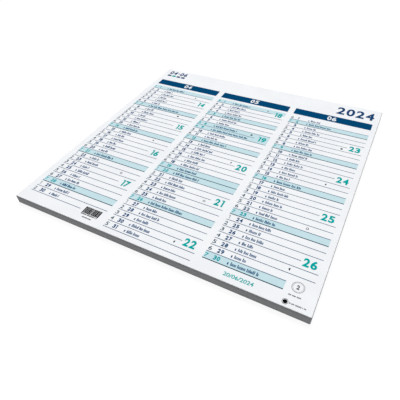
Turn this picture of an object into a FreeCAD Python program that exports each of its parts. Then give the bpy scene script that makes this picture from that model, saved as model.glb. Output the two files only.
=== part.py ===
"""Wall calendar: a rigid printed board that shows three months side by side.

The board lies on its back. X runs across the months, Y runs from the foot of the
print to its head, Z points out of the printed face. The origin is the centre of
the board's back. Every patch of print is a flat skin of ink on the face.
"""
import FreeCAD, Part
import math
import os

# Driving dimensions in millimetres: alias, value, meaning.
SIZES = [
    ("board_width", 430.0, "board, across the months"),
    ("board_length", 430.0, "board, from foot to head"),
    ("board_thickness", 13.0, "board, from back to face"),
    ("corner_radius", 1.5, "upright corners of the board"),
    ("edge_radius", 1.2, "rim around the face"),
    ("ink_thickness", 0.1, "one skin of ink"),
    ("left_margin", 11.4, "left edge to the first month"),
    ("right_margin", 8.6, "last month to the right edge"),
    ("foot_margin", 8.9, "rule of the 31st to the foot"),
    ("column_gap", 10.5, "between two months"),
    ("header_margin", 46.2, "head to the month bars"),
    ("header_height", 18.2, "month bar"),
    ("header_gap", 5.9, "month bar to the first row"),
    ("rule_thickness", 0.8, "rule below a row"),
    ("rest_rule_thickness", 1.1, "rule below a Sunday"),
    ("day_height", 6.5, "day numbers"),
    ("day_indent", 12.4, "column edge to the day numbers"),
    ("day_rise", 1.8, "rule to the foot of the day numbers"),
    ("week_height", 12.8, "week numbers"),
    ("week_inset", 3.9, "week numbers to the column's right edge"),
    ("week_clearance", 2.8, "end of a short rule to the week number"),
    ("year_height", 23.0, "year"),
    ("year_gap", 10.9, "foot of the year to the month bars"),
    ("year_inset", 1.0, "year to the last column's right edge"),
    ("title_height", 11.8, "month numbers in the bars"),
    ("name_height", 3.4, "marks in the place of the names"),
    ("name_indent", 34.7, "column edge to the name marks"),
    ("name_rise", 2.4, "rule to the foot of the name marks"),
    ("name_length", 13.0, "shortest name mark"),
    ("name_step", 2.9, "each longer name mark adds this"),
    ("block_width", 27.3, "striped block at the foot of the first month"),
    ("block_height", 14.0, "striped block"),
    ("block_inset", 4.1, "striped block to the column's right edge"),
    ("block_clearance", 6.1, "end of the short rule to the striped block"),
    ("block_drop", 3.8, "rule above to the striped block"),
    ("block_line_gap", 3.2, "striped block to its small line"),
    ("stripe_thickness", 1.15, "one stripe of the block"),
    ("ring_diameter", 14.6, "ring at the foot of the last month"),
    ("ring_line", 0.6, "line of the ring"),
    ("ring_inset", 7.9, "ring to the column's right edge"),
    ("ring_clearance", 7.2, "end of the short band to the ring"),
    ("ring_rise", 1.3, "last rule to the foot of the ring"),
    ("ring_line_gap", 4.2, "ring to its small line"),
    ("ring_number_height", 6.0, "number in the ring"),
    ("dot_diameter", 7.2, "dot below the ring"),
    ("dot_inset", 19.1, "dot to the column's right edge"),
    ("dot_drop", 9.2, "last rule to the top of the dot"),
    ("dot_line_gap", 0.9, "dot to its small line"),
    ("season_indent", 32.4, "column edge to the line below the last month"),
    ("season_length", 37.0, "line below the last month"),
    ("season_height", 5.4, "line below the last month"),
    ("season_drop", 6.3, "last rule to the line below the month"),
    ("small_line_height", 1.6, "small lines beside the ring, dot and block"),
    ("quarter_height", 12.6, "months of the quarter, above the first month"),
    ("quarter_margin", 7.5, "head of the board to the months of the quarter"),
    ("quarter_bar_height", 5.5, "bars below the months of the quarter"),
    ("quarter_bar_drop", 3.2, "months of the quarter to the bars"),
    ("quarter_bar_gap", 2.4, "between two of the four bars"),
]

# Shares of a numeral's height.
NUMERAL_WIDTH = 0.6
NUMERAL_STROKE = 0.17
NUMERAL_GAP = 0.1
NARROW = {"1": 0.55, "-": 0.6}

# The striped block: its pitch in stripes, and the share of its width that its small line has.
STRIPE_PITCH = 1.5
BLOCK_LINE_SHARE = 0.56

# Name marks come in this many lengths; those of days of rest are longer by some steps.
NAME_LENGTHS = 6
REST_NAME_STEPS = 4

# The three months: number, days, first Sunday, first Wednesday, other days of rest.
MONTHS = [(4, 30, 7, 3, (1,)), (5, 31, 5, 1, (1, 8, 9, 20)), (6, 30, 2, 5, ())]
FIRST_WEEK = 14
YEAR = "2024"
QUARTER = "2"
QUARTERS = 4

# Places on the face, as expressions that the document works out again.
COLUMN_WIDTH = (
    "(sizes.board_width - sizes.left_margin - sizes.right_margin - 2 * sizes.column_gap) / 3"
)
ROWS_START = "(sizes.header_margin + sizes.header_height + sizes.header_gap)"
ROW_PITCH = f"(sizes.board_length - {ROWS_START} - sizes.foot_margin) / 31"
WEEK_WIDTH = f"sizes.week_height * {2 * NUMERAL_WIDTH + NUMERAL_GAP}"


def make_sheet(doc):
    """The spreadsheet of driving dimensions, one aliased cell each."""
    sheet = doc.addObject("Spreadsheet::Sheet", "sizes")
    for row, (alias, value, meaning) in enumerate(SIZES, start=1):
        sheet.set(f"A{row}", meaning)
        sheet.set(f"B{row}", str(value))
        sheet.setAlias(f"B{row}", alias)
    doc.recompute()
    return sheet


def size(doc, alias):
    return float(doc.sizes.get(alias))


def origin_plane(body, role):
    return next(item for item in body.Origin.OriginFeatures if item.Role == role)


def edges_where(shape, test):
    return [f"Edge{i}" for i, edge in enumerate(shape.Edges, start=1) if test(edge)]


def make_board(doc):
    """The board: a padded rectangle with rounded upright corners and a soft rim."""
    body = doc.addObject("PartDesign::Body", "calendar_board")
    outline = body.newObject("Sketcher::SketchObject", "board_outline")
    outline.AttachmentSupport = (origin_plane(body, "XY_Plane"), [""])
    outline.MapMode = "FlatFace"
    half_width = size(doc, "board_width") / 2
    half_length = size(doc, "board_length") / 2
    corners = [
        FreeCAD.Vector(x * half_width, y * half_length, 0)
        for x, y in ((-1, -1), (1, -1), (1, 1), (-1, 1))
    ]
    for here, there in zip(corners, corners[1:] + corners[:1]):
        outline.addGeometry(Part.LineSegment(here, there), False)
    add_rectangle_constraints(outline)
    pad = body.newObject("PartDesign::Pad", "board_pad")
    pad.Profile = outline
    pad.setExpression("Length", "sizes.board_thickness")
    doc.recompute()
    corners = body.newObject("PartDesign::Fillet", "board_corners")
    corners.Base = (pad, edges_where(pad.Shape, is_upright))
    corners.setExpression("Radius", "sizes.corner_radius")
    doc.recompute()
    top = size(doc, "board_thickness")
    rim = body.newObject("PartDesign::Fillet", "board_rim")
    rim.Base = (corners, edges_where(corners.Shape, lambda edge: lies_at(edge, top)))
    rim.setExpression("Radius", "sizes.edge_radius")
    return body


def add_rectangle_constraints(outline):
    """Four sides closed at the corners, centred on the origin, with a width and a length."""
    import Sketcher

    for side in range(4):
        outline.addConstraint(Sketcher.Constraint("Coincident", side, 2, (side + 1) % 4, 1))
    for side, direction in enumerate(("Horizontal", "Vertical", "Horizontal", "Vertical")):
        outline.addConstraint(Sketcher.Constraint(direction, side))
    outline.addConstraint(Sketcher.Constraint("Symmetric", 0, 1, 2, 1, -1, 1))
    width = Sketcher.Constraint("DistanceX", 0, 1, 0, 2, outline.Geometry[0].length())
    length = Sketcher.Constraint("DistanceY", 1, 1, 1, 2, outline.Geometry[1].length())
    for name, constraint in (("width", width), ("length", length)):
        index = outline.addConstraint(constraint)
        outline.renameConstraint(index, name)
        outline.setExpression(f"Constraints.{name}", f"sizes.board_{name}")


def is_upright(edge):
    return edge.BoundBox.ZLength > edge.BoundBox.XLength + edge.BoundBox.YLength


def lies_at(edge, level):
    return abs(edge.BoundBox.ZMin - level) < 1e-6 and edge.BoundBox.ZLength < 1e-6


def column_left(month):
    return f"(sizes.left_margin + {month} * ({COLUMN_WIDTH} + sizes.column_gap))"


def row_line(day):
    """Distance from the head of the board to the line below a day's row."""
    return f"({ROWS_START} + {day} * {ROW_PITCH})"


def make_field(doc, name, left, down, width, height, level=0):
    """A flat rectangle of ink: left and down are from the left edge and the head."""
    field = doc.addObject("Part::Box", name)
    field.setExpression("Length", width)
    field.setExpression("Width", height)
    field.setExpression("Height", "sizes.ink_thickness")
    field.setExpression("Placement.Base.x", f"{left} - sizes.board_width / 2")
    field.setExpression("Placement.Base.y", f"sizes.board_length / 2 - {down} - ({height})")
    field.setExpression(
        "Placement.Base.z", f"sizes.board_thickness + {level} * sizes.ink_thickness"
    )
    return field


def group(doc, name, fields):
    """One node from many fields of the same ink."""
    compound = doc.addObject("Part::Compound", name)
    compound.Links = fields
    return compound


def sundays(month):
    _, days, first_sunday, _, _ = MONTHS[month]
    return range(first_sunday, days + 1, 7)


def is_rest(month, day):
    """Whether the row of a day has a band behind it."""
    return day in sundays(month) or day in MONTHS[month][4]


def wednesdays(month):
    _, days, _, first_wednesday, _ = MONTHS[month]
    return range(first_wednesday, days + 1, 7)


def rule_height(month, day):
    return "sizes.rest_rule_thickness" if day in sundays(month) else "sizes.rule_thickness"


def rule_width(month, day):
    """Rules end short of a week number, the striped block and the ring."""
    if day in wednesdays(month):
        return f"{COLUMN_WIDTH} - sizes.week_inset - {WEEK_WIDTH} - sizes.week_clearance"
    if month == 0 and day == 30:
        return f"{COLUMN_WIDTH} - sizes.block_inset - sizes.block_width - sizes.block_clearance"
    if month == 2 and day >= 29:
        return f"{COLUMN_WIDTH} - sizes.ring_inset - sizes.ring_diameter - sizes.ring_clearance"
    return COLUMN_WIDTH


def make_rules(doc):
    """One rule below each row; those that touch a band lie on top of it."""
    plain, rest, every = [], [], {}
    for month, (_, days, _, _, _) in enumerate(MONTHS):
        for day in range(1, days + 1):
            height = rule_height(month, day)
            on_band = is_rest(month, day) or (day < days and is_rest(month, day + 1))
            rule = make_field(
                doc,
                f"rule_{month}_{day}",
                column_left(month),
                f"({row_line(day)} - {height} / 2)",
                rule_width(month, day),
                height,
                int(on_band),
            )
            every[month, day] = rule
            (rest if day in sundays(month) else plain).append(rule)
    return group(doc, "row_rules", plain), group(doc, "rest_day_rules", rest), every


def make_bands(doc):
    """A band of tint behind each day of rest; days in a row share one band."""
    bands = []
    for month, (_, days, _, _, _) in enumerate(MONTHS):
        for day in range(1, days + 1):
            if not is_rest(month, day) or is_rest(month, day - 1):
                continue
            last = day
            while is_rest(month, last + 1) and last < days:
                last += 1
            above = f"{rule_height(month, day - 1)} / 2" if day > 1 else "0"
            below = f"{rule_height(month, last)} / 2"
            width = rule_width(month, last) if last == days else COLUMN_WIDTH
            bands.append(
                make_field(
                    doc,
                    f"band_{month}_{day}",
                    column_left(month),
                    f"({row_line(day - 1)} - {above})",
                    width,
                    f"{row_line(last)} - {row_line(day - 1)} + {above} + {below}",
                )
            )
    return group(doc, "rest_day_bands", bands)


def make_headers(doc):
    bars = [
        make_field(
            doc,
            f"header_{month}",
            column_left(month),
            "sizes.header_margin",
            COLUMN_WIDTH,
            "sizes.header_height",
        )
        for month in range(len(MONTHS))
    ]
    return group(doc, "header_bars", bars), bars


def name_steps(month, day):
    """How many steps longer than the shortest a day's name mark is."""
    steps = (3 * day + 5 * month) % NAME_LENGTHS
    return steps + REST_NAME_STEPS if is_rest(month, day) else steps


def make_name_marks(doc):
    """A plain bar in each row where a name would stand."""
    marks = [
        make_field(
            doc,
            f"name_{month}_{day}",
            f"({column_left(month)} + sizes.name_indent)",
            f"({row_line(day)} - {rule_height(month, day)} / 2"
            " - sizes.name_rise - sizes.name_height)",
            f"sizes.name_length + {name_steps(month, day)} * sizes.name_step",
            "sizes.name_height",
            int(is_rest(month, day)),
        )
        for month, (_, days, _, _, _) in enumerate(MONTHS)
        for day in range(1, days + 1)
    ]
    return group(doc, "name_marks", marks)


def make_quarter_bars(doc):
    """Four bars for the quarters of a year; this quarter's bar has its own ink."""
    width = f"sizes.quarter_height * {numeral_width(quarter_text(), 1)}"
    length = f"({width} - {QUARTERS - 1} * sizes.quarter_bar_gap) / {QUARTERS}"
    bars = [
        make_field(
            doc,
            f"quarter_bar_{quarter}",
            f"(sizes.left_margin + {quarter} * ({length} + sizes.quarter_bar_gap))",
            "(sizes.quarter_margin + sizes.quarter_height + sizes.quarter_bar_drop)",
            length,
            "sizes.quarter_bar_height",
        )
        for quarter in range(QUARTERS)
    ]
    current = bars.pop(int(QUARTER) - 1)
    return bars, group(doc, "current_quarter_bar", [current])


def quarter_text():
    """The first and the last month of the quarter."""
    return f"{MONTHS[0][0]:02d}-{MONTHS[-1][0]:02d}"


def make_quarter_numbers(doc, bars):
    """The quarter's first and last month, above its bars."""
    bar = bars[0]
    corner = FreeCAD.Vector(
        bar.Placement.Base.x,
        bar.Placement.Base.y + bar.Width.Value + size(doc, "quarter_bar_drop"),
        size(doc, "board_thickness"),
    )
    height = size(doc, "quarter_height")
    numerals = make_numerals(quarter_text(), height, corner, size(doc, "ink_thickness"))
    numbers = add_shape(doc, "quarter_numerals", numerals)
    return group(doc, "quarter_numbers", [numbers, *bars])


def make_block(doc):
    """The block of even stripes at the foot of the first month, and its small line."""
    left = f"({column_left(0)} + {COLUMN_WIDTH} - sizes.block_inset - sizes.block_width)"
    down = f"({row_line(29)} + sizes.rule_thickness / 2 + sizes.block_drop)"
    count = int(size(doc, "block_width") / (STRIPE_PITCH * size(doc, "stripe_thickness")))
    pitch = f"(sizes.block_width - sizes.stripe_thickness) / {count - 1}"
    stripes = [
        make_field(
            doc,
            f"stripe_{stripe}",
            f"({left} + {stripe} * {pitch})",
            down,
            "sizes.stripe_thickness",
            "sizes.block_height",
        )
        for stripe in range(count)
    ]
    line = make_field(
        doc,
        "block_line",
        f"({left} + sizes.block_width * {(1 - BLOCK_LINE_SHARE) / 2})",
        f"({down} + sizes.block_height + sizes.block_line_gap)",
        f"sizes.block_width * {BLOCK_LINE_SHARE}",
        "sizes.small_line_height",
    )
    return [*stripes, line]


def make_season_line(doc):
    line = make_field(
        doc,
        "season_field",
        f"({column_left(2)} + sizes.season_indent)",
        f"({row_line(30)} + sizes.rest_rule_thickness / 2 + sizes.season_drop)",
        "sizes.season_length",
        "sizes.season_height",
    )
    return group(doc, "season_line", [line])


def make_ring(doc, rules):
    """A thin ring with the number of the quarter in it, and its small line."""
    outer = size(doc, "ring_diameter") / 2
    corner = rules[2, 30].Placement.Base
    ink = size(doc, "ink_thickness")
    top = size(doc, "board_thickness")
    right = column_right(doc, rules, 2) - size(doc, "ring_inset")
    lowest = corner.y + size(doc, "rest_rule_thickness") + size(doc, "ring_rise")
    centre = FreeCAD.Vector(right - outer, lowest + outer, top)
    ring = Part.makeCylinder(outer, ink, centre).cut(
        Part.makeCylinder(outer - size(doc, "ring_line"), ink, centre)
    )
    height = size(doc, "ring_number_height")
    corner = centre - FreeCAD.Vector(numeral_width(QUARTER, height) / 2, height / 2, 0)
    number = make_numerals(QUARTER, height, corner, ink)
    foot = lowest - size(doc, "ring_line_gap") - size(doc, "small_line_height")
    line = Part.makeBox(
        2 * outer, size(doc, "small_line_height"), ink, FreeCAD.Vector(right - 2 * outer, foot, top)
    )
    return add_shape(doc, "ring_mark", [ring, *number, line])


def make_dot(doc, rules):
    """A plain dot and the small line beside it, below the ring."""
    radius = size(doc, "dot_diameter") / 2
    ink = size(doc, "ink_thickness")
    top = size(doc, "board_thickness")
    edge = column_right(doc, rules, 2)
    left = edge - size(doc, "dot_inset") - radius
    highest = rules[2, 30].Placement.Base.y - size(doc, "dot_drop")
    centre = FreeCAD.Vector(left, highest - radius, top)
    start = left + radius + size(doc, "dot_line_gap")
    corner = FreeCAD.Vector(start, centre.y - size(doc, "small_line_height") / 2, top)
    dot = Part.makeCylinder(radius, ink, centre)
    line = Part.makeBox(edge - start, size(doc, "small_line_height"), ink, corner)
    return add_shape(doc, "dot_mark", [dot, line])


def column_right(doc, rules, month):
    """The right edge of a month, from a rule that runs the whole width."""
    rule = rules[month, 7]
    return rule.Placement.Base.x + rule.Length.Value


def numeral_outlines(digit, width, height, stroke, rounded):
    """The edges of a numeral as corners (x, y, radius): its outside first, then its holes.

    A rounded numeral has hooks at its open ends and a waist; a square one has neither.
    """
    outer = width / 2
    inner = outer - stroke
    hook = 0.3 * height if rounded else stroke
    waist = 0.52 * height
    notch = 0.1 * height
    pinch = 0.1 * width if rounded else 0
    bowl = 0.6 * height
    left, right, top = stroke, width - stroke, height - stroke
    above, below = waist + stroke / 2, waist - stroke / 2

    def frame(low, high, radius, x0=0.0, x1=width):
        return [(x0, low, radius), (x1, low, radius), (x1, high, radius), (x0, high, radius)]

    if digit == "-":
        return [frame(below, above, 0)]
    if digit == "0":
        return [frame(0, height, outer), frame(stroke, top, inner, left, right)]
    if digit == "1":
        flag = height - 0.85 * stroke
        return [
            [
                (width - stroke, 0, 0), (width, 0, 0), (width, height, 0),
                (0, height, 0), (0, flag, 0), (width - stroke, flag, 0),
            ]
        ]
    if digit == "2":
        start = 1.55 * stroke
        shoulder = 0.5 * height
        slope = (shoulder - stroke) / (width - start)
        heel = stroke - slope * start + stroke * math.hypot(1, slope)
        return [
            [
                (0, 0, 0), (width, 0, 0), (width, stroke, 0), (start, stroke, 0),
                (width, shoulder, outer), (width, height, outer), (0, height, 0.9 * hook),
                (0, height - hook, 0), (left, height - hook, 0), (left, top, inner / 2),
                (right, top, inner), (right, heel + slope * right, inner), (0, heel, 0),
            ]
        ]
    if digit == "3":
        return [
            [
                (0, 0, 0.9 * hook), (width, 0, outer), (width, waist - notch, notch),
                (width - pinch, waist, 0), (width, waist + notch, notch), (width, height, outer),
                (0, height, 0.9 * hook), (0, height - hook, 0), (left, height - hook, 0),
                (left, top, inner / 2), (right, top, inner), (right, above, inner),
                (0.38 * width, above, 0), (0.38 * width, below, 0), (right, below, inner),
                (right, stroke, inner), (left, stroke, inner / 2), (left, hook, 0), (0, hook, 0),
            ]
        ]
    if digit == "4":
        stem = 0.86 * width
        bar = 0.2 * height
        tip = stem - 1.05 * stroke
        toe = bar + 0.95 * stroke
        slope = (height - toe) / tip
        shift = stroke * math.hypot(1, slope) / slope
        inside = stem - stroke
        return [
            [
                (inside, 0, 0), (stem, 0, 0), (stem, bar, 0), (width, bar, 0),
                (width, bar + stroke, 0), (stem, bar + stroke, 0), (stem, height, 0),
                (tip, height, 0), (0, toe, 0), (0, bar, 0), (inside, bar, 0),
            ],
            [
                (shift + 0.05 * stroke / slope, bar + stroke, 0), (inside, bar + stroke, 0),
                (inside, toe + slope * (inside - shift), 0),
            ],
        ]
    if digit == "5":
        stem = 0.06 * width
        return [
            [
                (0, 0, 0.9 * hook), (width, 0, outer), (width, bowl, outer),
                (stem + stroke, bowl, 0), (stem + stroke, top, 0), (0.94 * width, top, 0),
                (0.94 * width, height, 0), (stem, height, 0), (stem, bowl - stroke, 0),
                (right, bowl - stroke, inner), (right, stroke, inner),
                (left, stroke, inner / 2), (left, hook, 0), (0, hook, 0),
            ]
        ]
    if digit == "6":
        return [
            [
                (0, 0, outer), (width, 0, outer), (width, bowl, outer), (left, bowl, 0),
                (left, top, inner), (right, top, inner / 2), (right, height - hook, 0),
                (width, height - hook, 0), (width, height, 0.9 * hook), (0, height, outer),
            ],
            frame(stroke, bowl - stroke, inner, left, right),
        ]
    if digit == "7":
        foot = 0.2 * width
        return [
            [
                (foot, 0, 0), (foot + 1.12 * stroke, 0, 0), (width, top, 0), (width, height, 0),
                (0, height, 0), (0, top, 0), (width - 1.2 * stroke, top, 0),
            ]
        ]
    if digit == "8":
        return [
            [
                (0, 0, outer), (width, 0, outer), (width, waist - notch, notch),
                (width - pinch, waist, 0), (width, waist + notch, notch), (width, height, outer),
                (0, height, outer), (0, waist + notch, notch), (pinch, waist, 0),
                (0, waist - notch, notch),
            ],
            frame(stroke, below, inner, left, right),
            frame(above, top, inner, left, right),
        ]
    six = numeral_outlines("6", width, height, stroke, rounded)
    return [[(width - x, height - y, radius) for x, y, radius in edge] for edge in six]


def round_corner(before, corner, after, radius):
    """The points where a corner's arc starts, has its middle and ends."""
    into = (corner - before).normalize()
    out = (after - corner).normalize()
    turn = into.getAngle(out)
    room = 0.5 * min(corner.distanceToPoint(before), corner.distanceToPoint(after))
    reach = min(radius * math.tan(turn / 2), room)
    start = corner - into * reach
    end = corner + out * reach
    radius = reach / math.tan(turn / 2)
    inward = ((before - corner).normalize() + out).normalize()
    middle = corner + inward * (radius / math.cos(turn / 2) - radius)
    return start, middle, end


def turning(corners):
    """Only the corners where an edge turns."""
    points = [FreeCAD.Vector(x, y, 0) for x, y, _ in corners]
    kept = [i for i, point in enumerate(points) if not point.isEqual(points[i - 1], 1e-7)]
    turns = []
    for before, here, after in zip(kept[-1:] + kept[:-1], kept, kept[1:] + kept[:1]):
        into = points[here] - points[before]
        out = points[after] - points[here]
        if into.cross(out).Length > 1e-7:
            turns.append(corners[here])
    return turns


def make_outline(corners, rounded):
    """A closed wire through the corners, with an arc at each corner that has a radius."""
    corners = turning(corners)
    points = [FreeCAD.Vector(x, y, 0) for x, y, _ in corners]
    count = len(points)
    edges = []
    first = last = None
    for i, (_, _, radius) in enumerate(corners):
        start = end = points[i]
        if radius > 0 and rounded:
            after = points[(i + 1) % count]
            start, middle, end = round_corner(points[i - 1], points[i], after, radius)
        if last is not None and last.distanceToPoint(start) > 1e-7:
            edges.append(Part.LineSegment(last, start).toShape())
        if start is not end:
            edges.append(Part.Arc(start, middle, end).toShape())
        first = first or start
        last = end
    if last.distanceToPoint(first) > 1e-7:
        edges.append(Part.LineSegment(last, first).toShape())
    return Part.Wire(edges)


def numeral_width(text, height):
    """How wide a number is, from its first stroke to its last."""
    widths = [NUMERAL_WIDTH * NARROW.get(digit, 1) for digit in text]
    return height * (sum(widths) + NUMERAL_GAP * (len(text) - 1))


def make_numerals(text, height, corner, ink, rounded=False):
    """The solids of a number whose lower left corner is given."""
    solids = []
    place = FreeCAD.Vector(corner)
    for digit in text:
        width = numeral_width(digit, height)
        outlines = numeral_outlines(digit, width, height, NUMERAL_STROKE * height, rounded)
        wires = [make_outline(corners, rounded) for corners in outlines]
        face = Part.Face(wires[0])
        for hole in wires[1:]:
            face = face.cut(Part.Face(hole))
        solid = face.extrude(FreeCAD.Vector(0, 0, ink))
        solid.translate(place)
        solids.extend(solid.Solids)
        place = place + FreeCAD.Vector(width + NUMERAL_GAP * height, 0, 0)
    return solids


def add_shape(doc, name, solids):
    feature = doc.addObject("Part::Feature", name)
    feature.Shape = Part.makeCompound(solids)
    feature.Placement = FreeCAD.Placement()
    return feature


def make_day_numbers(doc, rules):
    """Day numbers stand on their row's rule; those of Sundays and days of rest are tinted."""
    height = size(doc, "day_height")
    ink = size(doc, "ink_thickness")
    plain, rest = [], []
    for (month, day), rule in rules.items():
        level = size(doc, "board_thickness") + (ink if is_rest(month, day) else 0)
        corner = FreeCAD.Vector(
            rule.Placement.Base.x + size(doc, "day_indent"),
            rule.Placement.Base.y + rule.Width.Value + size(doc, "day_rise"),
            level,
        )
        numerals = make_numerals(str(day), height, corner, ink)
        (rest if is_rest(month, day) else plain).extend(numerals)
    return add_shape(doc, "day_numbers", plain), add_shape(doc, "rest_day_numbers", rest)


def make_week_numbers(doc, rules):
    """Week numbers straddle the rule below each Wednesday, over the band of a day of rest."""
    height = size(doc, "week_height")
    ink = size(doc, "ink_thickness")
    solids = []
    week = FIRST_WEEK
    for (month, day), rule in rules.items():
        if day not in wednesdays(month):
            continue
        text = str(week)
        right = column_right(doc, rules, month) - size(doc, "week_inset")
        middle = rule.Placement.Base.y + rule.Width.Value / 2
        level = size(doc, "board_thickness") + (ink if is_rest(month, day) else 0)
        corner = FreeCAD.Vector(right - numeral_width(text, height), middle - height / 2, level)
        solids.extend(make_numerals(text, height, corner, ink))
        week += 1
    return add_shape(doc, "week_numbers", solids)


def make_year(doc, bars):
    height = size(doc, "year_height")
    bar = bars[-1]
    right = bar.Placement.Base.x + bar.Length.Value - size(doc, "year_inset")
    corner = FreeCAD.Vector(
        right - numeral_width(YEAR, height),
        bar.Placement.Base.y + bar.Width.Value + size(doc, "year_gap"),
        size(doc, "board_thickness"),
    )
    return add_shape(
        doc, "year_number", make_numerals(YEAR, height, corner, size(doc, "ink_thickness"), True)
    )


def make_month_numbers(doc, bars):
    """The number of each month, in the middle of its bar."""
    height = size(doc, "title_height")
    ink = size(doc, "ink_thickness")
    solids = []
    for (number, _, _, _, _), bar in zip(MONTHS, bars):
        text = f"{number:02d}"
        corner = FreeCAD.Vector(
            bar.Placement.Base.x + (bar.Length.Value - numeral_width(text, height)) / 2,
            bar.Placement.Base.y + (bar.Width.Value - height) / 2,
            size(doc, "board_thickness") + ink,
        )
        solids.extend(make_numerals(text, height, corner, ink))
    return add_shape(doc, "month_numbers", solids)


def check(doc, nodes):
    """Stop before anything is written if an object failed or a node is not a valid solid."""
    for item in doc.Objects:
        if "Invalid" in item.State or "Error" in item.State:
            raise RuntimeError(f"{item.Name} failed: {item.State}")
    for node in nodes:
        shape = node.Shape
        if shape.isNull() or not shape.isValid() or not shape.Solids:
            raise RuntimeError(f"{node.Name} is not a valid solid")


def main():
    doc = FreeCAD.newDocument("wall_calendar")
    make_sheet(doc)
    board = make_board(doc)
    headers, bars = make_headers(doc)
    plain_rules, rest_rules, rules = make_rules(doc)
    bands = make_bands(doc)
    names = make_name_marks(doc)
    quarter_bars, current_quarter = make_quarter_bars(doc)
    stripes = make_block(doc)
    season = make_season_line(doc)
    doc.recompute()
    days, rest_days = make_day_numbers(doc, rules)
    year = make_year(doc, bars)
    dates = group(doc, "date_numbers", [days, year])
    weeks = make_week_numbers(doc, rules)
    months = make_month_numbers(doc, bars)
    quarter = make_quarter_numbers(doc, quarter_bars)
    foot = group(doc, "foot_marks", [*stripes, make_ring(doc, rules), make_dot(doc, rules)])
    nodes = [
        board, headers, months, bands, plain_rules, rest_rules, dates, rest_days, weeks,
        names, season, quarter, current_quarter, foot,
    ]
    for node in nodes:
        node.Label = node.Name
    doc.recompute()
    check(doc, nodes)
    os.makedirs("parts", exist_ok=True)
    for node in nodes:
        node.Shape.exportStep(os.path.join("parts", f"{node.Label}.step"))


main()
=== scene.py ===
"""A printed wall calendar on a pale floor: paper, board edge and ink around the solid part."""
import math
import random
from functools import cache
from typing import NamedTuple

import bmesh
import bpy
from mathutils import Matrix, Vector


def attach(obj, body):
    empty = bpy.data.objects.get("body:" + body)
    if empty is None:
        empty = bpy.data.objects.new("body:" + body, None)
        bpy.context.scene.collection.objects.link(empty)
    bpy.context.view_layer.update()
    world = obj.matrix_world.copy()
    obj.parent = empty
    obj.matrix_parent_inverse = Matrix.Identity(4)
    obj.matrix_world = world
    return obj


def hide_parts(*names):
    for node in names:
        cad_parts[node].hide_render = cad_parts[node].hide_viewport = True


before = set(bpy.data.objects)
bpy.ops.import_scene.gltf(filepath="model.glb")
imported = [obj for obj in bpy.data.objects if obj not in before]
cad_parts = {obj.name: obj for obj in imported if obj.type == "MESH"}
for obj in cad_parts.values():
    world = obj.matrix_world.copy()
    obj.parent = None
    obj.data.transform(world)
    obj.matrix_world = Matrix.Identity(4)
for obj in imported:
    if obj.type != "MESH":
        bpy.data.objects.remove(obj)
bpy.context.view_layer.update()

# The camera, from the perspective of the print: degrees, millimetres of lens, metres.
AZIMUTH = 30.275
ELEVATION = 44.53
ROLL = -3.57
LENS = 34.16
CAMERA_PLACE = Vector((0.2168, -0.4313, 0.3784))

# Light: the key comes from behind, a little from the left. Its angle is in degrees.
KEY_DIRECTION = Vector((-0.2, 0.55, 1.0))
KEY_STRENGTH = 2.85
KEY_ANGLE = 35
AMBIENT = 0.2
AMBIENT_COLOUR = (0.97, 0.98, 1.0, 1.0)

# The floor, in metres: its half width, and how far it lies below the board's back. Then its
# colour, its glow where it is seen, and its glow in every light.
FLOOR_REACH = 8.0
FLOOR_DROP = 0.0002
FLOOR_GREY = 0.14
FLOOR_GLOW = 0.74
FLOOR_BOUNCE = 0.17

# Print that the solid part leaves plain, in metres: indents run from a month's left edge.
WEEKDAY_INDENT = 0.0006
WEEKDAY_HEIGHT = 0.0060
WEEKDAY_WIDTH = 0.0046
PREFIX_INDENT = 0.0306
PREFIX_LENGTH = 0.0016
MOON_INDENT = 0.0990
MOON_RADIUS = 0.0019
MOON_LINE = 0.0007

# Phases of the moon by month and day.
NEW, HALF, FULL = "new", "half", "full"
MOONS = [
    {2: HALF, 8: NEW, 15: HALF, 23: FULL},
    {1: HALF, 8: NEW, 15: HALF, 23: FULL, 30: HALF},
    {6: NEW, 14: HALF, 22: FULL, 28: HALF},
]

# Names that run further than the rest, by month and day, with their lengths in metres.
LONG_NAMES = [{7: 0.059}, {9: 0.062, 26: 0.0505}, {}]

# The numbers that are printed.
MONTHS = ("04", "05", "06")
FIRST_WEEK = 14
YEAR = "2024"
QUARTER_MONTHS = "04-06"
QUARTER = "2"
SEASON_START = "20/06/2024"

# How bold each kind of number is: how far its edge is moved out, in font units.
DAY_WEIGHT = 0.045
WEEKDAY_WEIGHT = 0.012
WEEK_WEIGHT = 0.04
TITLE_WEIGHT = 0.03
YEAR_WEIGHT = 0.03
QUARTER_WEIGHT = 0.035
SEASON_WEIGHT = 0.018
RING_WEIGHT = 0.05
FONT_DETAIL = 6

# A one is drawn as a stem with a flag: the stem's width before it is made bold, as a share of the
# height, and how wide a one is beside the other weekday numbers.
ONE = "1"
STEM = 0.1
NARROW = 0.55

# Strokes that stand in for words: their sizes in metres, the least and most letters of a word, how
# often a later letter is tall, the pitch after a word and how unevenly the strokes stand.
NAME_SEED = 31
STROKE_WIDTH = 0.00103
STROKE_PITCH = 0.0015
CROWN = 0.0016
WORD = (4, 7)
TALL_SHARE = 0.18
WORD_PITCH = 1.8
UNEVEN = (0.9, 1.1)

# Strokes that stand in for small print, in metres, and how many pitches apart they stand.
SMALL_STROKE = 0.00055
SMALL_PITCH = 0.00085
SMALL_STEPS = (1, 1, 1, 1, 2)

# The striped block: the unit of its stripes, in metres, how many units a stripe or a gap has, and
# the height of the small print below it and of the slit between them. Bars of the solid part
# that are taller than BLOCK_BAR belong to the block.
BLOCK_SEED = 5
BLOCK_BAR = 0.005
STRIPE = 0.0004
STRIPES = (3, 4, 5, 6)
GAPS = (1, 1, 1, 1, 2)
BLOCK_FOOT = 0.0019
BLOCK_SLIT = 0.0006

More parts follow.
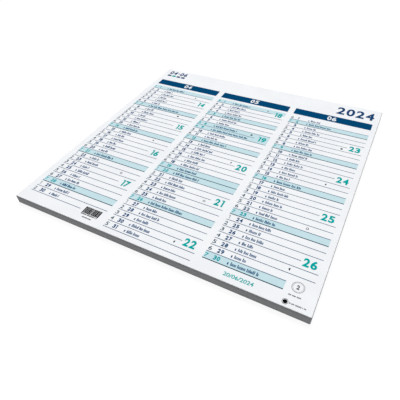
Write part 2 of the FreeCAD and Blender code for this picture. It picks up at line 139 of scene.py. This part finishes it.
# The ring and the dot at the foot, in metres and shares of a radius.
RING_LINE = 0.0005
TICKS = 24
TICK = (0.74, 0.86)
TICK_WIDTH = 0.0004
DOT_CORE = 0.72
DOT_RING = 0.88

CIRCLE_STEPS = 64

# The board's edge: the heights between which it turns from a darker tone near its top to a lighter
# tone below.
EDGE_TONE_HEIGHTS = (0.0118, 0.007)

# Textures, by how many of their spots fit in a metre, and the height of their relief in metres.
SOAK_SCALE = 140
GRAIN_SCALE = 2600
INK_FIBRE_SCALE = 1900
PAPER_FIBRE_SCALE = 1700
PAPER_CLOUD_SCALE = 35
PLY_STRETCH = (60, 60, 1500)
FIBRE_DEPTH = 0.00003

# Corners closer than WELD are one corner, and edges closer than SNAP are level, in metres. Feet
# that agree to ROW_DIGITS decimals are on one line.
WELD = 1e-7
SNAP = 1e-4
ROW_DIGITS = 5


class Box(NamedTuple):
    """The bounds of one patch of ink."""

    left: float
    right: float
    foot: float
    head: float
    floor: float
    top: float


class Row(NamedTuple):
    """One day of a month: its number, its middle line and its kind."""

    day: int
    middle: float
    rest: bool
    sunday: bool


def islands(node):
    """The bounds of each separate solid of a CAD node, from left to right."""
    mesh = bmesh.new()
    mesh.from_mesh(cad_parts[node].data)
    bmesh.ops.remove_doubles(mesh, verts=mesh.verts, dist=WELD)
    boxes = []
    waiting = set(mesh.verts)
    while waiting:
        found = {waiting.pop()}
        unvisited = list(found)
        while unvisited:
            here = unvisited.pop()
            near = {edge.other_vert(here) for edge in here.link_edges} - found
            found |= near
            unvisited.extend(near)
        waiting -= found
        x, y, z = zip(*(vert.co for vert in found))
        boxes.append(Box(min(x), max(x), min(y), max(y), min(z), max(z)))
    mesh.free()
    return sorted(boxes)


def around(boxes):
    """The bounds of several boxes together."""
    left, right, foot, head, floor, top = zip(*boxes)
    return Box(min(left), max(right), min(foot), max(head), min(floor), max(top))


def month_rows(bar, plain_rules, rest_rules, bands):
    """The rows below a month's bar, from the first day to the last."""
    inside = [rule for rule in plain_rules + rest_rules if abs(rule.left - bar.left) < SNAP]
    inside.sort(key=lambda rule: -rule.foot)
    lines = [(rule.foot + rule.head) / 2 for rule in inside]
    pitch = (lines[0] - lines[-1]) / (len(lines) - 1)
    rows = []
    for day, (rule, line) in enumerate(zip(inside, lines), start=1):
        middle = line + pitch / 2
        banded = any(
            abs(band.left - bar.left) < SNAP and band.foot < middle < band.head for band in bands
        )
        rows.append(Row(day, middle, banded, rule in rest_rules))
    return rows


def srgb(red, green, blue):
    """A colour as a shader takes it, from its 0 to 255 values on a screen."""
    values = []
    for value in (red, green, blue):
        share = value / 255
        values.append(share / 12.92 if share <= 0.04045 else ((share + 0.055) / 1.055) ** 2.4)
    return (*values, 1.0)


class Shader:
    """A node material under construction."""

    def __init__(self, name, roughness, specular):
        self.material = bpy.data.materials.new(name)
        self.material.use_nodes = True
        self.tree = self.material.node_tree
        self.surface = self.tree.nodes["Principled BSDF"]
        self.surface.inputs["Roughness"].default_value = roughness
        self.surface.inputs["Specular IOR Level"].default_value = specular
        self.place = self.node("ShaderNodeTexCoord").outputs["Object"]

    def node(self, kind, **settings):
        made = self.tree.nodes.new(kind)
        for name, value in settings.items():
            setattr(made, name, value)
        return made

    def link(self, source, target):
        self.tree.links.new(source, target)

    def noise(self, scale, detail=3.0, stretch=(1, 1, 1)):
        mapping = self.node("ShaderNodeMapping")
        mapping.inputs["Scale"].default_value = stretch
        noise = self.node("ShaderNodeTexNoise")
        noise.inputs["Scale"].default_value = scale
        noise.inputs["Detail"].default_value = detail
        self.link(self.place, mapping.inputs["Vector"])
        self.link(mapping.outputs["Vector"], noise.inputs["Vector"])
        return noise.outputs["Fac"]

    def spread(self, value, low, high):
        """The value stretched so that low becomes 0 and high becomes 1."""
        ramp = self.node("ShaderNodeMapRange", interpolation_type="SMOOTHSTEP")
        ramp.inputs["From Min"].default_value = low
        ramp.inputs["From Max"].default_value = high
        self.link(value, ramp.inputs["Value"])
        return ramp.outputs["Result"]

    def blend(self, factor, first, second):
        """A colour between two, each a plain colour or another node's output."""
        mix = self.node("ShaderNodeMix", data_type="RGBA")
        self.link(factor, mix.inputs["Factor"])
        for colour, socket in ((first, mix.inputs["A"]), (second, mix.inputs["B"])):
            if isinstance(colour, tuple):
                socket.default_value = colour
            else:
                self.link(colour, socket)
        return mix.outputs["Result"]

    def colour(self, value):
        self.link(value, self.surface.inputs["Base Color"])

    def relief(self, height, depth, strength):
        bump = self.node("ShaderNodeBump")
        bump.inputs["Distance"].default_value = depth
        bump.inputs["Strength"].default_value = strength
        self.link(height, bump.inputs["Height"])
        self.link(bump.outputs["Normal"], self.surface.inputs["Normal"])


def shade(colour, share):
    """A colour made lighter or darker by a share."""
    return (*(min(1.0, value * share) for value in colour[:3]), 1.0)


def ink_material(name, colour, mottle=0.10):
    """Ink on paper: a soft mottle where it soaks in, over the paper's own fibres."""
    shader = Shader(name, 0.85, 0.0)
    clouds = shader.spread(shader.noise(SOAK_SCALE, 4), 0.35, 0.65)
    grain = shader.spread(shader.noise(GRAIN_SCALE, 2), 0.3, 0.7)
    tone = shader.blend(clouds, shade(colour, 1 - mottle), shade(colour, 1 + mottle))
    shader.colour(shader.blend(grain, tone, shade(colour, 1 + mottle / 2)))
    shader.relief(shader.noise(INK_FIBRE_SCALE), FIBRE_DEPTH, 0.35)
    return shader.material


def board_material():
    """White coated paper on the face, grey pressboard at the edge that is darker near its top,
    plain paper behind.
    """
    shader = Shader("board_paper", 0.7, 0.1)
    normal = shader.node("ShaderNodeSeparateXYZ")
    shader.link(shader.node("ShaderNodeNewGeometry").outputs["Normal"], normal.inputs["Vector"])
    clouds = shader.spread(shader.noise(PAPER_CLOUD_SCALE), 0.3, 0.7)
    face = shader.blend(clouds, srgb(242, 244, 247), srgb(246, 248, 250))
    plies = shader.spread(shader.noise(1.0, 4, PLY_STRETCH), 0.3, 0.7)
    height = shader.node("ShaderNodeSeparateXYZ")
    shader.link(shader.place, height.inputs["Vector"])
    # The edge is darker near its top and lighter below, set by height.
    upper_edge_tone = shader.blend(plies, srgb(184, 185, 187), srgb(202, 203, 205))
    lower_edge_tone = shader.blend(plies, srgb(208, 209, 211), srgb(222, 223, 225))
    edge = shader.blend(shader.spread(height.outputs["Z"], *EDGE_TONE_HEIGHTS), upper_edge_tone, lower_edge_tone)
    back = shader.blend(clouds, srgb(206, 205, 202), srgb(214, 213, 210))
    on_face = shader.spread(normal.outputs["Z"], 0.75, 0.97)
    on_back = shader.spread(normal.outputs["Z"], -0.5, -0.9)
    shader.colour(shader.blend(on_back, shader.blend(on_face, edge, face), back))
    shader.relief(shader.noise(PAPER_FIBRE_SCALE), FIBRE_DEPTH, 0.3)
    return shader.material


@cache
def text_mesh(text, weight):
    """Corners and faces of a number, from 0 to 1 along each axis."""
    curve = bpy.data.curves.new("number", "FONT")
    curve.body = text
    curve.extrude = 0.5
    curve.bevel_depth = weight
    curve.bevel_resolution = 0
    curve.resolution_u = FONT_DETAIL
    shape = bpy.data.objects.new("number", curve)
    bpy.context.collection.objects.link(shape)
    mesh = bpy.data.meshes.new_from_object(
        shape.evaluated_get(bpy.context.evaluated_depsgraph_get())
    )
    places = [vert.co.copy() for vert in mesh.vertices]
    low = [min(place[axis] for place in places) for axis in range(3)]
    high = [max(place[axis] for place in places) for axis in range(3)]
    corners = [
        [(place[axis] - low[axis]) / (high[axis] - low[axis]) for axis in range(3)]
        for place in places
    ]
    faces = [tuple(face.vertices) for face in mesh.polygons]
    bpy.data.meshes.remove(mesh)
    bpy.data.objects.remove(shape)
    bpy.data.curves.remove(curve)
    return corners, faces


class Ink:
    """Flat marks of one ink, gathered into one piece."""

    def __init__(self):
        self.corners = []
        self.faces = []

    def prism(self, outline, floor, top):
        start, count = len(self.corners), len(outline)
        self.corners += [(x, y, z) for z in (floor, top) for x, y in outline]
        self.faces.append([start + i for i in reversed(range(count))])
        self.faces.append([start + count + i for i in range(count)])
        for i in range(count):
            after = (i + 1) % count
            self.faces.append(
                [start + i, start + after, start + count + after, start + count + i]
            )

    def bar(self, left, right, foot, head, floor, top):
        self.prism([(left, foot), (right, foot), (right, head), (left, head)], floor, top)

    def disc(self, x, y, radius, floor, top, half=False):
        """A disc, or the left half of one."""
        corners = CIRCLE_STEPS // 2 + 1 if half else CIRCLE_STEPS
        angles = [math.pi / 2 + 2 * math.pi * i / CIRCLE_STEPS for i in range(corners)]
        self.prism(
            [(x + radius * math.cos(a), y + radius * math.sin(a)) for a in angles], floor, top
        )

    def ring(self, x, y, outer, inner, floor, top):
        for i in range(CIRCLE_STEPS):
            start, end = (2 * math.pi * (i + step) / CIRCLE_STEPS for step in (0, 1))
            turns = ((inner, start), (outer, start), (outer, end), (inner, end))
            outline = [
                (x + radius * math.cos(angle), y + radius * math.sin(angle))
                for radius, angle in turns
            ]
            self.prism(outline, floor, top)

    def tick(self, x, y, turn, inner, outer, floor, top):
        """A short stroke that points away from x, y."""
        along = Vector((math.cos(turn), math.sin(turn)))
        aside = Vector((-along.y, along.x)) * TICK_WIDTH / 2
        centre = Vector((x, y))
        outline = [
            centre + along * reach + side
            for reach, side in ((inner, -aside), (outer, -aside), (outer, aside), (inner, aside))
        ]
        self.prism(outline, floor, top)

    def number(self, text, weight, box):
        """A number that fills the box; a one has a flag at its head."""
        if text == ONE:
            stem = box.right - (STEM + 2 * weight) * (box.head - box.foot)
            flag = box.head - (STEM + weight) * (box.head - box.foot)
            outline = [
                (stem, box.foot), (box.right, box.foot), (box.right, box.head),
                (box.left, box.head), (box.left, flag), (stem, flag),
            ]
            self.prism(outline, box.floor, box.top)
            return
        corners, faces = text_mesh(text, weight)
        start = len(self.corners)
        self.corners += [
            (
                box.left + x * (box.right - box.left),
                box.foot + y * (box.head - box.foot),
                box.floor + z * (box.top - box.floor),
            )
            for x, y, z in corners
        ]
        self.faces += [[start + i for i in face] for face in faces]

    def numerals(self, text, weight, boxes):
        """One numeral in each box, from left to right."""
        for numeral, box in zip(text, sorted(boxes), strict=True):
            self.number(numeral, weight, box)

    def words(self, box, dice):
        """Strokes in the place of words: taller at the start of each word."""
        place = box.left
        letters = 0
        while place + STROKE_WIDTH <= box.right:
            if letters == 0:
                letters = dice.randint(*WORD)
                head = box.head + CROWN
            else:
                head = box.head + (CROWN if dice.random() < TALL_SHARE else 0)
            self.bar(place, place + STROKE_WIDTH, box.foot, head, box.floor, box.top)
            letters -= 1
            place += STROKE_PITCH * (WORD_PITCH if letters == 0 else 1) * dice.uniform(*UNEVEN)

    def piece(self, name, material, slot, *nodes):
        """The finished piece, in the place of the CAD nodes that it names."""
        mesh = bpy.data.meshes.new(name)
        mesh.from_pydata(self.corners, [], self.faces)
        mesh.materials.append(material)
        made = bpy.data.objects.new(name, mesh)
        bpy.context.scene.collection.objects.link(made)
        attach(made, "root")
        if nodes:
            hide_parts(*nodes)
        return made


def dress(node, material):
    """A CAD node keeps its shape and gets a finished material."""
    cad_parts[node].data.materials.clear()
    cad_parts[node].data.materials.append(material)


def in_row(boxes, bar, row, pitch):
    """What a row of a month holds."""
    return [
        box
        for box in boxes
        if bar.left < box.left < bar.right
        and abs((box.foot + box.head) / 2 - row.middle) < pitch / 2
    ]


def add_days(bars, months, inks):
    """Day numbers, weekday numbers, name strokes and moons, row by row."""
    digits = islands("date_numbers") + islands("rest_day_numbers")
    names = islands("name_marks")
    days, rest_days, weekdays, rest_weekdays, words, moons = (Ink() for _ in range(6))
    dice = random.Random(NAME_SEED)
    for bar, rows, phases, long_names in zip(bars, months, MOONS, LONG_NAMES):
        pitch = (rows[0].middle - rows[-1].middle) / (len(rows) - 1)
        first_sunday = next(row.day for row in rows if row.sunday)
        for row in rows:
            boxes = in_row(digits, bar, row, pitch)
            (rest_days if row.rest else days).numerals(str(row.day), DAY_WEIGHT, boxes)
            box = boxes[0]
            weekday = str((row.day - first_sunday - 1) % 7 + 1)
            left = bar.left + WEEKDAY_INDENT
            right = left + WEEKDAY_WIDTH * (NARROW if weekday == ONE else 1)
            place = box._replace(left=left, right=right, head=box.foot + WEEKDAY_HEIGHT)
            (rest_weekdays if row.rest else weekdays).number(weekday, WEEKDAY_WEIGHT, place)
            name = around(in_row(names, bar, row, pitch))
            length = long_names.get(row.day, name.right - name.left)
            name = name._replace(right=name.left + length)
            words.words(name, dice)
            prefix = bar.left + PREFIX_INDENT
            words.bar(*name._replace(left=prefix, right=prefix + PREFIX_LENGTH))
            if row.day in phases:
                add_moon(moons, phases[row.day], bar.left + MOON_INDENT, row.middle, box)
    days.piece("smooth_day_numbers", inks["date"], "date_ink")
    rest_days.piece(
        "smooth_rest_day_numbers", inks["rest_date"], "rest_date_ink", "rest_day_numbers"
    )
    weekdays.piece("weekday_numbers", inks["weekday"], "rule_ink")
    rest_weekdays.piece("rest_weekday_numbers", inks["rest_date"], "rest_date_ink")
    words.piece("name_strokes", inks["name"], "name_ink", "name_marks")
    moons.piece("moon_marks", inks["moon"], "rule_ink")


def add_moon(ink, phase, x, y, box):
    """A filled disc, a half disc or a ring for the phase of the moon."""
    if phase == NEW:
        ink.disc(x, y, MOON_RADIUS, box.floor, box.top)
    elif phase == HALF:
        ink.disc(x, y, MOON_RADIUS, box.floor, box.top, half=True)
    else:
        ink.ring(x, y, MOON_RADIUS, MOON_RADIUS - MOON_LINE, box.floor, box.top)


def add_large_numbers(bars, inks):
    """Week numbers, the months in their bars and the year."""
    weeks = Ink()
    digits = islands("week_numbers")
    week = FIRST_WEEK
    for bar in bars:
        inside = [box for box in digits if bar.left < box.left < bar.right]
        feet = sorted({round(box.foot, ROW_DIGITS) for box in inside}, reverse=True)
        for foot in feet:
            boxes = [box for box in inside if round(box.foot, ROW_DIGITS) == foot]
            weeks.numerals(str(week), WEEK_WEIGHT, boxes)
            week += 1
    weeks.piece("smooth_week_numbers", inks["week"], "week_ink", "week_numbers")

    titles = Ink()
    digits = islands("month_numbers")
    for text, bar in zip(MONTHS, bars):
        inside = [box for box in digits if bar.left < box.left < bar.right]
        titles.numerals(text, TITLE_WEIGHT, inside)
    titles.piece("smooth_month_numbers", inks["white"], "month_number_ink", "month_numbers")

    year = Ink()
    above = [box for box in islands("date_numbers") if box.foot > bars[0].head]
    year.numerals(YEAR, YEAR_WEIGHT, above)
    year.piece("smooth_year_number", inks["year"], "date_ink", "date_numbers")


def add_quarter(inks):
    """The quarter's months above its four bars."""
    ink = Ink()
    boxes = islands("quarter_numbers")
    lowest = min(box.foot for box in boxes)
    numbers = [box for box in boxes if box.foot > lowest + SNAP]
    ink.numerals(QUARTER_MONTHS, QUARTER_WEIGHT, numbers)
    for box in boxes:
        if box.foot <= lowest + SNAP:
            ink.bar(*box)
    ink.piece("smooth_quarter_numbers", inks["year"], "quarter_ink", "quarter_numbers")


def add_foot_marks(inks):
    """The striped block, the ring with the quarter's number and the dot, with their lines."""
    boxes = islands("foot_marks")
    middle = (min(box.left for box in boxes) + max(box.right for box in boxes)) / 2
    block = [box for box in boxes if box.right < middle]
    marks = [box for box in boxes if box.left > middle]
    ring = max(marks, key=lambda box: box.head)
    number = next(
        box for box in marks if box.left > ring.left + SNAP and ring.foot < box.foot < ring.head
    )
    dot = min(marks, key=lambda box: box.left)
    lines = [box for box in marks if box not in (ring, number, dot)]

    ink = Ink()
    dice = random.Random(BLOCK_SEED)
    add_stripes(ink, around([box for box in block if box.head - box.foot > BLOCK_BAR]), dice)
    for line in (min(block, key=lambda box: box.foot), *lines):
        small_words(ink, line, dice)
    x, y, radius = circle_in(dot)
    ink.disc(x, y, radius * DOT_CORE, dot.floor, dot.top)
    ink.ring(x, y, radius, radius * DOT_RING, dot.floor, dot.top)
    ink.piece("striped_block_and_lines", inks["black"], "foot_ink")

    stamp = Ink()
    x, y, radius = circle_in(ring)
    stamp.ring(x, y, radius, radius - RING_LINE, ring.floor, ring.top)
    for tick in range(TICKS):
        turn = 2 * math.pi * tick / TICKS
        stamp.tick(x, y, turn, radius * TICK[0], radius * TICK[1], ring.floor, ring.top)
    stamp.number(QUARTER, RING_WEIGHT, number)
    stamp.piece("ring_mark", inks["stamp"], "foot_ink", "foot_marks")


def circle_in(box):
    """The centre and the radius of a round mark."""
    return (box.left + box.right) / 2, (box.foot + box.head) / 2, (box.right - box.left) / 2


def add_stripes(ink, box, dice):
    """Stripes of uneven width, with a line of small print at their foot."""
    left = box.left
    foot = box.foot + BLOCK_FOOT + BLOCK_SLIT
    while left < box.right - STRIPE:
        right = min(left + STRIPE * dice.choice(STRIPES), box.right)
        ink.bar(left, right, foot, box.head, box.floor, box.top)
        left = right + STRIPE * dice.choice(GAPS)
    small_words(ink, box._replace(head=box.foot + BLOCK_FOOT), dice)


def small_words(ink, box, dice):
    """Very small strokes in the place of a line of small print."""
    place = box.left
    while place < box.right:
        ink.bar(place, place + SMALL_STROKE, box.foot, box.head, box.floor, box.top)
        place += SMALL_PITCH * dice.choice(SMALL_STEPS)


def add_season(inks):
    """A plain date in the place of the line below the last month."""
    ink = Ink()
    ink.number(SEASON_START, SEASON_WEIGHT, islands("season_line")[0])
    ink.piece("season_date", inks["season"], "season_ink", "season_line")


def make_inks():
    return {
        "white": ink_material("unprinted_white", srgb(240, 243, 246), 0.02),
        "header": ink_material("header_blue", srgb(2, 70, 113), 0.08),
        "band": ink_material("band_tint", srgb(200, 227, 233), 0.03),
        "rule": ink_material("rule_grey", srgb(58, 88, 122)),
        "rest_rule": ink_material("rest_rule_blue", srgb(20, 66, 88)),
        "date": ink_material("date_navy", srgb(6, 72, 120)),
        "year": ink_material("year_navy", srgb(28, 68, 114)),
        "rest_date": ink_material("rest_date_teal", srgb(0, 162, 171)),
        "weekday": ink_material("weekday_grey", srgb(52, 82, 100)),
        "week": ink_material("week_teal", srgb(0, 167, 164)),
        "name": ink_material("name_navy", srgb(8, 76, 124)),
        "moon": ink_material("moon_grey", srgb(55, 62, 72)),
        "season": ink_material("season_teal", srgb(0, 171, 168)),
        "black": ink_material("foot_black", srgb(14, 15, 16)),
        "stamp": ink_material("stamp_grey", srgb(110, 110, 112)),
    }


def add_light():
    sun = bpy.data.lights.new("key", "SUN")
    sun.energy = KEY_STRENGTH
    sun.angle = math.radians(KEY_ANGLE)
    key = bpy.data.objects.new("key", sun)
    key.rotation_mode = "QUATERNION"
    key.rotation_quaternion = KEY_DIRECTION.to_track_quat("Z", "Y")
    bpy.context.scene.collection.objects.link(key)


def seen_directly(tree):
    """1 for a ray from the camera or by way of a reflection or a clear surface, else 0."""
    path = tree.nodes.new("ShaderNodeLightPath")
    total = path.outputs["Is Camera Ray"]
    for name in ("Is Glossy Ray", "Is Transmission Ray"):
        either = tree.nodes.new("ShaderNodeMath")
        either.operation = "MAXIMUM"
        tree.links.new(total, either.inputs[0])
        tree.links.new(path.outputs[name], either.inputs[1])
        total = either.outputs[0]
    return total


def add_world():
    world = bpy.data.worlds.new("studio")
    world.use_nodes = True
    tree = world.node_tree
    bpy.context.scene.world = world
    ambient = tree.nodes["Background"]
    ambient.inputs["Color"].default_value = AMBIENT_COLOUR
    ambient.inputs["Strength"].default_value = AMBIENT
    white = tree.nodes.new("ShaderNodeBackground")
    white.inputs["Color"].default_value = (1.0, 1.0, 1.0, 1.0)
    white.inputs["Strength"].default_value = 1.0
    mix = tree.nodes.new("ShaderNodeMixShader")
    tree.links.new(seen_directly(tree), mix.inputs["Fac"])
    tree.links.new(ambient.outputs[0], mix.inputs[1])
    tree.links.new(white.outputs[0], mix.inputs[2])
    tree.links.new(mix.outputs[0], tree.nodes["World Output"].inputs["Surface"])


def add_floor():
    """A pale floor: white where it is seen, a calm grey in the light it throws back."""
    mesh = bpy.data.meshes.new("floor")
    reach = FLOOR_REACH
    quarters = ((-1, -1), (1, -1), (1, 1), (-1, 1))
    corners = [(x * reach, y * reach, -FLOOR_DROP) for x, y in quarters]
    mesh.from_pydata(corners, [], [(0, 1, 2, 3)])
    material = bpy.data.materials.new("floor")
    material.use_nodes = True
    tree = material.node_tree
    surface = tree.nodes["Principled BSDF"]
    surface.inputs["Base Color"].default_value = (FLOOR_GREY, FLOOR_GREY, FLOOR_GREY, 1.0)
    surface.inputs["Roughness"].default_value = 0.9
    surface.inputs["Specular IOR Level"].default_value = 0.0
    glow = tree.nodes.new("ShaderNodeEmission")
    strength = tree.nodes.new("ShaderNodeMath")
    strength.operation = "MULTIPLY_ADD"
    strength.inputs[1].default_value = FLOOR_GLOW
    strength.inputs[2].default_value = FLOOR_BOUNCE
    tree.links.new(seen_directly(tree), strength.inputs[0])
    tree.links.new(strength.outputs[0], glow.inputs["Strength"])
    both = tree.nodes.new("ShaderNodeAddShader")
    tree.links.new(surface.outputs[0], both.inputs[0])
    tree.links.new(glow.outputs[0], both.inputs[1])
    tree.links.new(both.outputs[0], tree.nodes["Material Output"].inputs["Surface"])
    mesh.materials.append(material)
    floor = bpy.data.objects.new("floor", mesh)
    bpy.context.scene.collection.objects.link(floor)


def add_camera():
    """The camera where the photograph was taken from."""
    azimuth, elevation, roll = (math.radians(angle) for angle in (AZIMUTH, ELEVATION, ROLL))
    back = Vector(
        (
            math.sin(azimuth) * math.cos(elevation),
            -math.cos(azimuth) * math.cos(elevation),
            math.sin(elevation),
        )
    )
    right = Vector((0, 0, 1)).cross(back).normalized()
    up = back.cross(right)
    turned_right = math.cos(roll) * right + math.sin(roll) * up
    turned_up = math.cos(roll) * up - math.sin(roll) * right
    data = bpy.data.cameras.new("camera")
    data.lens = LENS
    data.sensor_width = 36
    camera = bpy.data.objects.new("camera", data)
    turn = Matrix((turned_right, turned_up, back)).transposed().to_4x4()
    camera.matrix_world = Matrix.Translation(CAMERA_PLACE) @ turn
    bpy.context.scene.collection.objects.link(camera)
    bpy.context.scene.camera = camera


def main():
    bpy.context.scene.view_settings.view_transform = "Standard"
    add_camera()
    add_light()
    add_world()
    add_floor()
    inks = make_inks()
    dress("calendar_board", board_material())
    for node, ink in (
        ("header_bars", "header"),
        ("rest_day_bands", "band"),
        ("row_rules", "rule"),
        ("rest_day_rules", "rest_rule"),
        ("current_quarter_bar", "week"),
    ):
        dress(node, inks[ink])
    bars = sorted(islands("header_bars"), key=lambda bar: bar.left)
    plain_rules = islands("row_rules")
    rest_rules = islands("rest_day_rules")
    bands = islands("rest_day_bands")
    months = [month_rows(bar, plain_rules, rest_rules, bands) for bar in bars]
    add_days(bars, months, inks)
    add_large_numbers(bars, inks)
    add_quarter(inks)
    add_foot_marks(inks)
    add_season(inks)


main()
